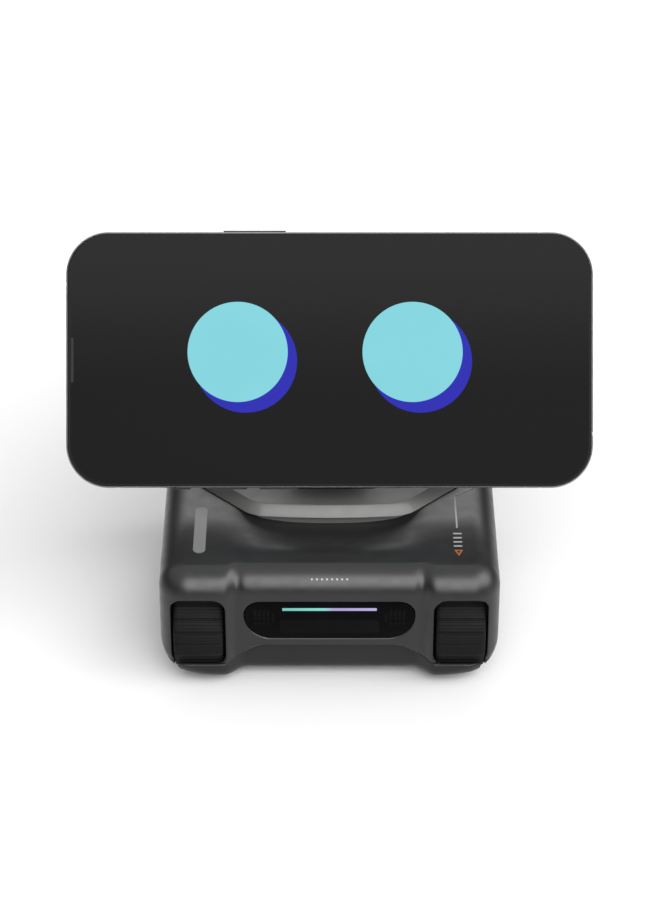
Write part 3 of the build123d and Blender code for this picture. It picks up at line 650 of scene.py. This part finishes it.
class ROBOT_OT_body(RobotOperator):
    """Moulds the top and base shells around the wheels, window and neck"""

    bl_idname = "robot.body"
    bl_label = "Body shells"

    def build(self, sizes, colours):
        step = sizes.mesh_step
        satin = moulded("body_satin", colours.body, rough=0.36, bump=0.08)
        low = SHELL_LOW - 1.2
        high = SHELL_HIGH + 1.2
        low[2] = SIDE_SPLIT_Z - 1.0
        top = field_piece("body_top", top_field(sizes), low, high, step, satin, "chassis")
        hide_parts("top_shell")
        # The base shell takes the body colour darkened to 0.8: painted shade for the lower body that faces
        # the floor.
        shaded_base_satin = moulded("base_satin_painted_shade", shade(colours.body, 0.8), rough=0.46, bump=0.12, specular=0.36)
        low = BASE_LOW - 1.2
        high = BASE_HIGH + 1.2
        high[2] = CREASE_Z + 1.2
        base = field_piece("body_base", base_field(sizes), low, high, step, shaded_base_satin, "chassis")
        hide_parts("base_shell")


TYRE_DEPTH = 3.78            # the tyre's thickness, down to the rim
STEPS_PER_GROOVE = 16        # mesh steps from one deep groove to the next
GROOVE_DEPTH = 0.4
RIB_DEPTH = 0.1


class ROBOT_OT_wheels(RobotOperator):
    """Makes the two ribbed tyres"""

    bl_idname = "robot.wheels"
    bl_label = "Wheels"

    def build(self, sizes, colours):
        rubber = moulded("tyre_rubber", colours.tyre, rough=0.62, grain=2200.0, bump=0.25, specular=0.12)
        half = (TYRE_HIGH[0] - TYRE_LOW[0]) / 2
        # across the tread: (offset from the middle, depth below the crown)
        across = [(-1.0, TYRE_DEPTH), (-1.0, 1.1), (-0.97, 0.55), (-0.9, 0.18), (-0.8, 0.03), (0.0, 0.0)]
        across += [(-offset, depth) for offset, depth in reversed(across[:-1])]
        steps = sizes.tread_grooves * STEPS_PER_GROOVE
        for side, name in ((-1, "left"), (1, "right")):
            points = []
            for index in range(steps):
                angle = 2 * math.pi * index / steps
                phase = index % STEPS_PER_GROOVE
                cut = 0.0
                if phase in (0, 1):
                    cut = GROOVE_DEPTH
                elif phase in (5, 9, 13):
                    cut = RIB_DEPTH
                for offset, depth in across:
                    reach = WHEEL_RADIUS - 0.02 - depth
                    if depth < 1.0:
                        reach -= cut
                    points.append((
                        side * WHEEL_X + offset * half,
                        WHEEL_Y + reach * math.cos(angle),
                        WHEEL_Z + reach * math.sin(angle),
                    ))
            faces = skin(steps, len(across), closed=True)
            tyre = mesh_object(f"{name}_tread", points, faces, rubber, f"{name}_wheel")
            sharpen(tyre, 28.0)
            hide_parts(f"{name}_tyre")


COLLAR_NEAR = 23.8           # half the length of the collar's straight front edge
COLLAR_TURN = 0.41           # how much of an inward offset shortens it
COLLAR_BOW = 1.3             # how far the front edge bows forward
COLLAR_CORNER = 8.5
COLLAR_STEPS = 24


def collar_loop(steps=10):
    """The collar's rounded octagon as a function of an inward offset."""
    front, back = COLLAR_LOW[1] + 0.3, COLLAR_HIGH[1]
    far = COLLAR_HIGH[0]

    def loop(offset):
        near = COLLAR_NEAR - COLLAR_TURN * offset
        edge = far - offset
        corner = edge - near
        low, high = front + offset + COLLAR_BOW, back - offset
        knots = [
            (near, low), (edge, low + corner), (edge, high - corner), (near, high),
            (-near, high), (-edge, high - corner), (-edge, low + corner), (-near, low),
        ]
        radius = COLLAR_CORNER - 0.5 * offset
        points = []
        count = len(knots)
        for index in range(count):
            here = Vector(knots[index])
            before = (Vector(knots[index - 1]) - here).normalized()
            after = (Vector(knots[(index + 1) % count]) - here).normalized()
            half = before.angle(after) / 2
            reach = radius / math.tan(half)
            centre = here + (before + after).normalized() * (radius / math.sin(half))
            start = here + before * reach - centre
            end = here + after * reach - centre
            for part in range(steps + 1):
                mixed = start.lerp(end, part / steps).normalized() * radius
                points.append(tuple(centre + mixed))
        # the front edge bows forward a little between its two corners
        bowed = []
        for x, y in points:
            if y < low - COLLAR_BOW + 4 and abs(x) < near:
                y -= COLLAR_BOW * (1 - (x / near) ** 2)
            bowed.append((x, y))
        front_edge = []
        first, last = bowed[0], bowed[-1]
        for part in range(1, COLLAR_STEPS):
            x = last[0] + (first[0] - last[0]) * part / COLLAR_STEPS
            rise = COLLAR_BOW * ((last[0] / near) ** 2 - (x / near) ** 2)
            front_edge.append((x, last[1] - rise))
        return bowed + front_edge

    return loop


class ROBOT_OT_collar(RobotOperator):
    """Makes the bevelled collar round the neck"""

    bl_idname = "robot.collar"
    bl_label = "Collar"

    def build(self, sizes, colours):
        satin = moulded("collar_satin", colours.collar, rough=0.38, bump=0.08, vary=0.05)
        low, high = COLLAR_LOW[2] - 0.1, COLLAR_HIGH[2]
        profile = [
            (1.6, low - 3.1), (1.5, low + 0.1), (0.3, low), (0.0, low + 0.3), (0.08, low + 0.55),
            (2.6, high - 0.28), (2.8, high - 0.1), (3.0, high - 0.02), (3.25, high - 0.08),
            (3.42, high - 0.3), (3.42, high - 1.3), (3.42, low - 3.1),
        ]
        points, faces = ring_mesh(collar_loop(), profile, closed=True)
        ring = mesh_object("collar_bevel", points, [face[::-1] for face in faces], satin, "chassis")
        sharpen(ring, 50.0)
        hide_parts("collar_ring")


DOT_COUNT = 8
DOT_SIDES = 16
DOT_PROFILE = ((0.3, -0.25), (0.3, 0.02), (0.24, 0.07), (0.12, 0.1))    # radius and height


class ROBOT_OT_window(RobotOperator):
    """Makes the smoked sensor window, its light bar and the indicator dots"""

    bl_idname = "robot.window"
    bl_label = "Sensor window"

    def build(self, sizes, colours):
        smoke = (0.0018, 0.0018, 0.0022)
        gloss = moulded("window_gloss", smoke, rough=0.12, bump=0.0, vary=0.2, specular=0.03)
        front, back = WINDOW_LOW[1] + 0.1, WINDOW_HIGH[1]

        def outline(offset, steps=12):
            half = PANE_HALF - offset
            top = PANE_HIGH - offset
            low = PANE_LOW + offset
            upper, lower = PANE_UPPER_CORNER - offset, PANE_LOWER_CORNER - offset
            points = []
            corners = (
                (half - upper, top - upper, upper, 0), (-half + upper, top - upper, upper, 1),
                (-half + lower, low + lower, lower, 2), (half - lower, low + lower, lower, 3),
            )
            for centre_x, centre_z, radius, quarter in corners:
                for index in range(steps + 1):
                    angle = math.pi / 2 * (quarter + index / steps)
                    points.append((
                        centre_x + radius * math.cos(angle), centre_z + radius * math.sin(angle),
                    ))
            return points

        profile = [(0.0, back), (0.0, front + 0.35), (0.1, front + 0.12), (0.35, front)]
        points, faces = ring_mesh(outline, profile)
        points = [(x, y, z) for x, z, y in points]
        pane = mesh_object("window_pane", points, faces, gloss, "chassis")
        sharpen(pane, 40.0)
        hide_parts("sensor_window")

        glow = glowing(
            "light_glow", colours.light_left, colours.light_right,
            LIGHT_LOW[0] * MM, LIGHT_HIGH[0] * MM,
        )
        bar_loop = rounded_rectangle(
            (LIGHT_HIGH[0] - LIGHT_LOW[0]), (LIGHT_HIGH[2] - LIGHT_LOW[2]), 0.12,
            (0.0, (LIGHT_LOW[2] + LIGHT_HIGH[2]) / 2), 3,
        )
        face = front - 0.03
        points, faces = ring_mesh(bar_loop, [(0.0, face + 0.4), (0.0, face + 0.03), (0.04, face)])
        bar = mesh_object("light_strip", [(x, y, z) for x, z, y in points], faces, glow, "chassis")
        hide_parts("light_bar")

        dim = (0.0032, 0.0032, 0.0036)
        faint = moulded("module_faint", dim, rough=0.2, bump=0.0, vary=0.3, specular=0.04)
        # small emitters in a grid at each end, a slit beside each grid and a wide bar between them:
        # (x, z, half width, half height)
        details = []
        for start, sign in ((-22.4, 1), (22.4, -1)):
            for row in range(3):
                for column in range(4):
                    x = start + sign * column * 1.3
                    details.append((x, 26.2 - row * 1.9, 0.42, 0.5 if row else 1.1))
            details.append((start + sign * 5.4, 24.4, 0.35, 1.7))
        details.append((0.0, 21.3, 15.0, 2.4))
        all_points = []
        all_faces = []
        for x, z, half_x, half_z in details:
            small = rounded_rectangle(2 * half_x, 2 * half_z, min(half_x, half_z) * 0.5, (x, z), 3)
            profile = [(0.0, front + 0.3), (0.0, front - 0.008), (0.02, front - 0.012)]
            points, faces = ring_mesh(small, profile)
            start_index = len(all_points)
            all_points.extend((x, y, z) for x, z, y in points)
            all_faces.extend(tuple(index + start_index for index in face) for face in faces)
        modules = mesh_object("window_details", all_points, all_faces, faint, "chassis")

        lit = glowing("dot_glow", (0.72, 0.74, 0.78))
        centre = (DOTS_LOW + DOTS_HIGH) / 2
        pitch = (DOTS_HIGH[0] - DOTS_LOW[0] - 0.64) / (DOT_COUNT - 1)
        outside = top_field(sizes)
        seeds = []
        for index in range(DOT_COUNT):
            x = DOTS_LOW[0] + 0.32 + index * pitch
            seeds.append((x, centre[1] - 0.5, centre[2] + 0.5))
        seats = settle(outside, np.array(seeds), 1.0, 8)
        normals = gradient(outside, seats)
        points = []
        faces = []
        for seat, normal in zip(seats, normals):
            direction = Vector(normal).normalized()
            turn = direction.to_track_quat("Z", "Y").to_matrix()
            start_index = len(points)
            for radius, height in DOT_PROFILE:
                for part in range(DOT_SIDES):
                    angle = 2 * math.pi * part / DOT_SIDES
                    local = Vector((radius * math.cos(angle), radius * math.sin(angle), height))
                    points.append(tuple(Vector(seat) + turn @ local))
            faces.extend(skin(len(DOT_PROFILE), DOT_SIDES, first=start_index))
        dots = mesh_object("dot_row", points, faces, lit, "chassis")
        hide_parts("indicator_dots")


# The phone's flat frame: X along its long side, Y up its face, Z out of the screen.
LEAN = math.radians(33.0)
GLASS_LOW = box_mm("phone_glass")[0]
GLASS_INSET = 0.55           # the CAD glass lies this far inside the phone's outline
GLASS_LIP = 0.25             # and its rim is this thick
PHONE_EDGE = Vector((
    0.0,
    GLASS_LOW[1] - GLASS_INSET * math.sin(LEAN),
    GLASS_LOW[2] - GLASS_INSET * math.cos(LEAN) + GLASS_LIP * math.sin(LEAN),
))
PHONE_PLACE = Matrix.Translation(PHONE_EDGE) @ Matrix.Rotation(math.pi / 2 - LEAN, 4, "X")
PHONE_WIDTH = (FRAME_HIGH[0] - FRAME_LOW[0])
PHONE_HEIGHT = 78.1
PHONE_DEPTH = 7.65
PHONE_CORNER = 13.0
EYE_DROP = 36.6              # the eyes' centres lie this far below the phone's upper edge
EYE_SHIFT = 1.35             # and this far left of its middle


def phone_loop():
    """The phone's outline as a function of an inward offset."""
    return rounded_rectangle(PHONE_WIDTH, PHONE_HEIGHT, PHONE_CORNER, (0.0, PHONE_HEIGHT / 2), 20)


def phone_piece(name, loop, profile, material, node):
    """A plate on the phone, which stands for a CAD node if one is given."""
    points, faces = ring_mesh(loop, profile)
    piece = mesh_object(name, placed(points, PHONE_PLACE), faces, material, "phone")
    sharpen(piece, 38.0)
    if node:
        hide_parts(node)
    return piece


class ROBOT_OT_phone(RobotOperator):
    """Makes the phone that is the robot's face, with its two eyes"""

    bl_idname = "robot.phone"
    bl_label = "Phone face"

    def build(self, sizes, colours):
        ink = (0.004, 0.004, 0.0042)
        glass = moulded("screen_gloss", ink, rough=0.08, bump=0.0, vary=0.04, specular=0.05)
        profile = [
            (1.7, -0.95), (1.7, -0.3), (0.34, -0.28), (0.34, -0.16), (0.38, -0.06),
            (0.52, -0.005), (0.85, 0.0),
        ]
        phone_piece("front_glass", phone_loop(), profile, glass, "phone_glass")
        frosted = moulded("back_frost", (0.05, 0.052, 0.056), rough=0.34, bump=0.03, vary=0.04, coat=0.25)
        rear = -PHONE_DEPTH
        profile = [
            (1.1, rear), (0.8, rear + 0.005), (0.66, rear + 0.06), (0.62, rear + 0.16),
            (0.62, rear + 0.3), (1.7, rear + 0.32), (1.7, rear + 0.95),
        ]
        phone_piece("rear_glass", phone_loop(), profile, frosted, "phone_back")
        upper_edge = PHONE_PLACE @ Vector((0, PHONE_HEIGHT, 0))
        # the screen's emission grows toward its upper edge as a painted reflection
        lit = screen_glow_with_painted_reflection("screen_glow_painted_reflection", PHONE_EDGE, upper_edge)
        screen_loop = rounded_rectangle(
            PHONE_WIDTH - 2.4, PHONE_HEIGHT - 2.2, PHONE_CORNER - 1.1, (0.0, PHONE_HEIGHT / 2), 20
        )
        profile = [(0.0, -0.1), (0.0, 0.002), (0.03, 0.005)]
        phone_piece("screen_area", screen_loop, profile, lit, None)
        eye = glowing("eye_glow", colours.eye)
        shadow = glowing("eye_shadow_glow", colours.eye_shadow)
        eye_y = PHONE_HEIGHT - EYE_DROP
        low, high = box_mm("phone_earpiece")
        slit = PHONE_PLACE.inverted() @ Vector((low + high) / 2)
        wide, tall = (high[0] - low[0]) * 0.8, (high[2] - low[2]) / math.cos(LEAN)
        slit_loop = rounded_rectangle(wide, tall, 0.3, (slit.x - 1.35, slit.y), 6)
        grey = (0.018, 0.018, 0.018)
        weave = moulded("earpiece_weave", grey, rough=0.6, grain=5200.0, bump=0.5, specular=0.1)
        profile = [(0.0, -0.1), (0.0, 0.012), (0.04, 0.018)]
        phone_piece("earpiece_slit", slit_loop, profile, weave, "phone_earpiece")
        for side, name in ((-1, "left"), (1, "right")):
            x = side * sizes.eye_spacing / 2 - EYE_SHIFT
            for label, finish, dx, dy, grow, level in (
                ("eye", eye, 0.0, 0.0, 0.0, 0.022), ("eye_shadow", shadow, 2.4, -2.8, 0.45, 0.012)
            ):
                loop = circle_loop(sizes.eye_radius + grow, (x + dx, eye_y + dy))
                profile = [(0.0, -0.1), (0.0, level - 0.004), (0.03, level)]
                phone_piece(f"{name}_{label}", loop, profile, finish, None)


def cad_finish(material, *nodes):
    """Gives CAD nodes a finished material."""
    for node in nodes:
        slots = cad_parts[node].data.materials
        slots.clear()
        slots.append(material)


class ROBOT_OT_fittings(RobotOperator):
    """Gives every carried-over CAD node its finish"""

    bl_idname = "robot.fittings"
    bl_label = "Fittings"

    def build(self, sizes, colours):
        steel = metal("bright_steel", (0.55, 0.55, 0.56), 0.22)
        brass = metal("turned_brass", (0.62, 0.44, 0.2), 0.28)
        nylon = moulded("gear_nylon", (0.62, 0.61, 0.56), rough=0.5, vary=0.05)
        board = board_finish("green_board")
        black = moulded("black_moulding", (0.02, 0.02, 0.021), rough=0.5)
        polished = metal("polished_graphite", (0.21, 0.206, 0.2), 0.2, 5200.0, bump=0.02)
        key = moulded("key_satin", (0.018, 0.018, 0.018), rough=0.4, specular=0.15)
        cad_finish(moulded("panel_satin", colours.collar, rough=0.5, vary=0.05), "collar_panel")
        cad_finish(moulded("label_print", (0.11, 0.11, 0.11), rough=0.6, vary=0.06), "label_plate")
        cad_finish(moulded("mark_print", (0.20, 0.20, 0.20), rough=0.6, vary=0.05), "shoulder_marks")
        cad_finish(moulded("arrow_print", colours.arrow, rough=0.55, vary=0.08), "arrow_mark")
        cad_finish(moulded("neck_satin", shade(colours.body, 1.05), rough=0.42), "neck_barrel", "neck_arm")
        cad_finish(metal("anodised_head", (0.10, 0.10, 0.105), 0.4, 2600.0, bump=0.2), "head_plate")
        cad_finish(moulded("pad_silicone", (0.02, 0.02, 0.02), rough=0.7, bump=0.2), "head_pad")
        cad_finish(moulded("button_satin", colours.collar, rough=0.4, vary=0.05), "power_button")
        cad_finish(black, "caster_socket", "neck_servo", "cliff_sensors", "neck_brackets")
        cad_finish(black, "sensor_modules", "left_rim", "right_rim", "wheel_bushes")
        cad_finish(steel, "left_axle", "right_axle", "neck_shaft", "caster_ball")
        cad_finish(steel, "base_screws", "plate_screws")
        cad_finish(steel, "drive_motors", "speaker", "charge_port", "head_magnets")
        cad_finish(brass, "left_pinion", "right_pinion", "servo_pinion")
        cad_finish(nylon, "left_drive_gear", "right_drive_gear", "neck_gear")
        cad_finish(board, "main_board", "light_board", "phone_board")
        cad_finish(moulded("battery_wrap", (0.05, 0.07, 0.12), rough=0.35), "battery", "phone_battery")
        cad_finish(moulded("display_black", (0.01, 0.01, 0.012), rough=0.3), "phone_display")
        cad_finish(polished, "phone_frame", "camera_rings")
        cad_finish(key, "phone_side_button", "phone_volume_up", "phone_volume_down", "phone_ring_switch")
        cad_finish(moulded("antenna_polymer", (0.2, 0.2, 0.2), rough=0.4), "phone_antenna_bands")
        bump = moulded("bump_gloss", (0.04, 0.042, 0.045), rough=0.12, bump=0.0, coat=0.5)
        cad_finish(bump, "camera_bump")
        lens = moulded("lens_gloss", (0.006, 0.007, 0.012), rough=0.06, bump=0.0, coat=1.0)
        cad_finish(lens, "camera_lenses")


# soft boxes of the studio: direction towards the light, inner and outer angle, brightness
SOFT_BOXES = (
    ((0.14, -0.76, 0.63), 12.0, 36.0, 5.0),
    ((0.78, -0.20, 0.59), 10.0, 34.0, 4.6),
    ((0.05, 0.87, 0.48), 10.0, 30.0, 1.8),
)
# brightness of the room against height: straight down, floor, skirting, horizon, wall, ceiling
ROOM_STOPS = ((0.0, 0.9), (0.30, 1.0), (0.46, 0.45), (0.50, 0.05), (0.57, 0.05), (0.65, 0.2), (0.77, 0.9))


def studio_world():
    """A dim room with white floor and ceiling and large soft boxes; the backdrop itself is white."""
    world = bpy.data.worlds.new("studio")
    world.use_nodes = True
    tree = world.node_tree
    tree.nodes.clear()
    where = tree.nodes.new("ShaderNodeTexCoord")
    parts = tree.nodes.new("ShaderNodeSeparateXYZ")
    tree.links.new(where.outputs["Generated"], parts.inputs["Vector"])
    height = spread(tree, parts.outputs["Z"], 0.0, 1.0, -1.0, 1.0)
    ramp = tree.nodes.new("ShaderNodeValToRGB")
    for position, value in ROOM_STOPS[1:-1]:
        ramp.color_ramp.elements.new(position).color = (value, value, value, 1)
    for end in (0, -1):
        position, value = ROOM_STOPS[end]
        ramp.color_ramp.elements[end].position = position
        ramp.color_ramp.elements[end].color = (value, value, value, 1)
    tree.links.new(height, ramp.inputs["Fac"])
    total = ramp.outputs["Color"]
    for direction, inner, outer, brightness in SOFT_BOXES:
        dot = tree.nodes.new("ShaderNodeVectorMath")
        dot.operation = "DOT_PRODUCT"
        dot.inputs[1].default_value = Vector(direction).normalized()
        tree.links.new(where.outputs["Generated"], dot.inputs[0])
        glow = tree.nodes.new("ShaderNodeMapRange")
        glow.interpolation_type = "SMOOTHSTEP"
        glow.inputs["From Min"].default_value = math.cos(math.radians(outer))
        glow.inputs["From Max"].default_value = math.cos(math.radians(inner))
        glow.inputs["To Max"].default_value = brightness
        tree.links.new(dot.outputs["Value"], glow.inputs["Value"])
        add = tree.nodes.new("ShaderNodeMath")
        add.operation = "ADD"
        tree.links.new(total, add.inputs[0])
        tree.links.new(glow.outputs["Result"], add.inputs[1])
        total = add.outputs["Value"]
    room = tree.nodes.new("ShaderNodeBackground")
    tree.links.new(total, room.inputs["Strength"])
    backdrop = tree.nodes.new("ShaderNodeBackground")
    path = tree.nodes.new("ShaderNodeLightPath")
    mix = tree.nodes.new("ShaderNodeMixShader")
    tree.links.new(path.outputs["Is Camera Ray"], mix.inputs["Fac"])
    tree.links.new(room.outputs["Background"], mix.inputs[1])
    tree.links.new(backdrop.outputs["Background"], mix.inputs[2])
    output = tree.nodes.new("ShaderNodeOutputWorld")
    tree.links.new(mix.outputs["Shader"], output.inputs["Surface"])
    for node in (room, backdrop):
        node.inputs["Color"].default_value = (1.0, 1.0, 1.0, 1)
    return world


class ROBOT_OT_stage(RobotOperator):
    """Lays the pale floor and sets the studio light and the camera"""

    bl_idname = "robot.stage"
    bl_label = "Stage"

    def build(self, sizes, colours):
        scene = bpy.context.scene
        scene.view_settings.view_transform = "Standard"
        material, tree, shader = new_material("studio_floor")
        tone = tint(tree, noise(tree, 6.0), (0.56, 0.56, 0.56), (0.575, 0.575, 0.575))
        tree.links.new(tone, shader.inputs["Base Color"])
        shader.inputs["Roughness"].default_value = 0.8
        shader.inputs["Specular IOR Level"].default_value = 0.1
        reach = 6.0
        mesh = bpy.data.meshes.new("floor")
        corners = [(-reach, -reach, 0), (reach, -reach, 0), (reach, reach, 0), (-reach, reach, 0)]
        mesh.from_pydata(corners, [], [(0, 1, 2, 3)])
        mesh.materials.append(material)
        floor = bpy.data.objects.new("floor", mesh)
        scene.collection.objects.link(floor)
        floor.visible_glossy = False
        scene.world = studio_world()

        target = Vector((0.14, 26.1, 40.2)) * MM
        away = Vector((0.0, -math.cos(LEAN), math.sin(LEAN)))
        camera_data = bpy.data.cameras.new("camera")
        camera_data.lens = 117.87
        camera_data.clip_start = 0.01
        camera = bpy.data.objects.new("camera", camera_data)
        scene.collection.objects.link(camera)
        camera.location = target + away * 0.936
        camera.rotation_euler = (-away).to_track_quat("-Z", "Y").to_euler()
        scene.camera = camera


class ROBOT_PT_panel(bpy.types.Panel):
    """Lists the steps of the build"""

    bl_idname = "ROBOT_PT_panel"
    bl_label = "Desk robot"
    bl_space_type = "VIEW_3D"
    bl_region_type = "UI"
    bl_category = "Robot"

    def draw(self, context):
        layout = self.layout
        for group in (context.scene.robot_sizes, context.scene.robot_colours):
            for name in group.__annotations__:
                layout.prop(group, name)
        for step in STEPS:
            layout.operator(step.bl_idname)


STEPS = (
    ROBOT_OT_body, ROBOT_OT_wheels, ROBOT_OT_collar, ROBOT_OT_window,
    ROBOT_OT_phone, ROBOT_OT_fittings, ROBOT_OT_stage,
)
CLASSES = (RobotSizes, RobotColours, *STEPS, ROBOT_PT_panel)


def register():
    for item in CLASSES:
        bpy.utils.register_class(item)
    bpy.types.Scene.robot_sizes = PointerProperty(type=RobotSizes)
    bpy.types.Scene.robot_colours = PointerProperty(type=RobotColours)


def unregister():
    del bpy.types.Scene.robot_sizes
    del bpy.types.Scene.robot_colours
    for item in reversed(CLASSES):
        bpy.utils.unregister_class(item)


def main():
    """Builds the robot step by step."""
    register()
    bpy.ops.robot.body()
    bpy.ops.robot.wheels()
    bpy.ops.robot.collar()
    bpy.ops.robot.window()
    bpy.ops.robot.phone()
    bpy.ops.robot.fittings()
    bpy.ops.robot.stage()


if __name__ == "__main__":
    main()
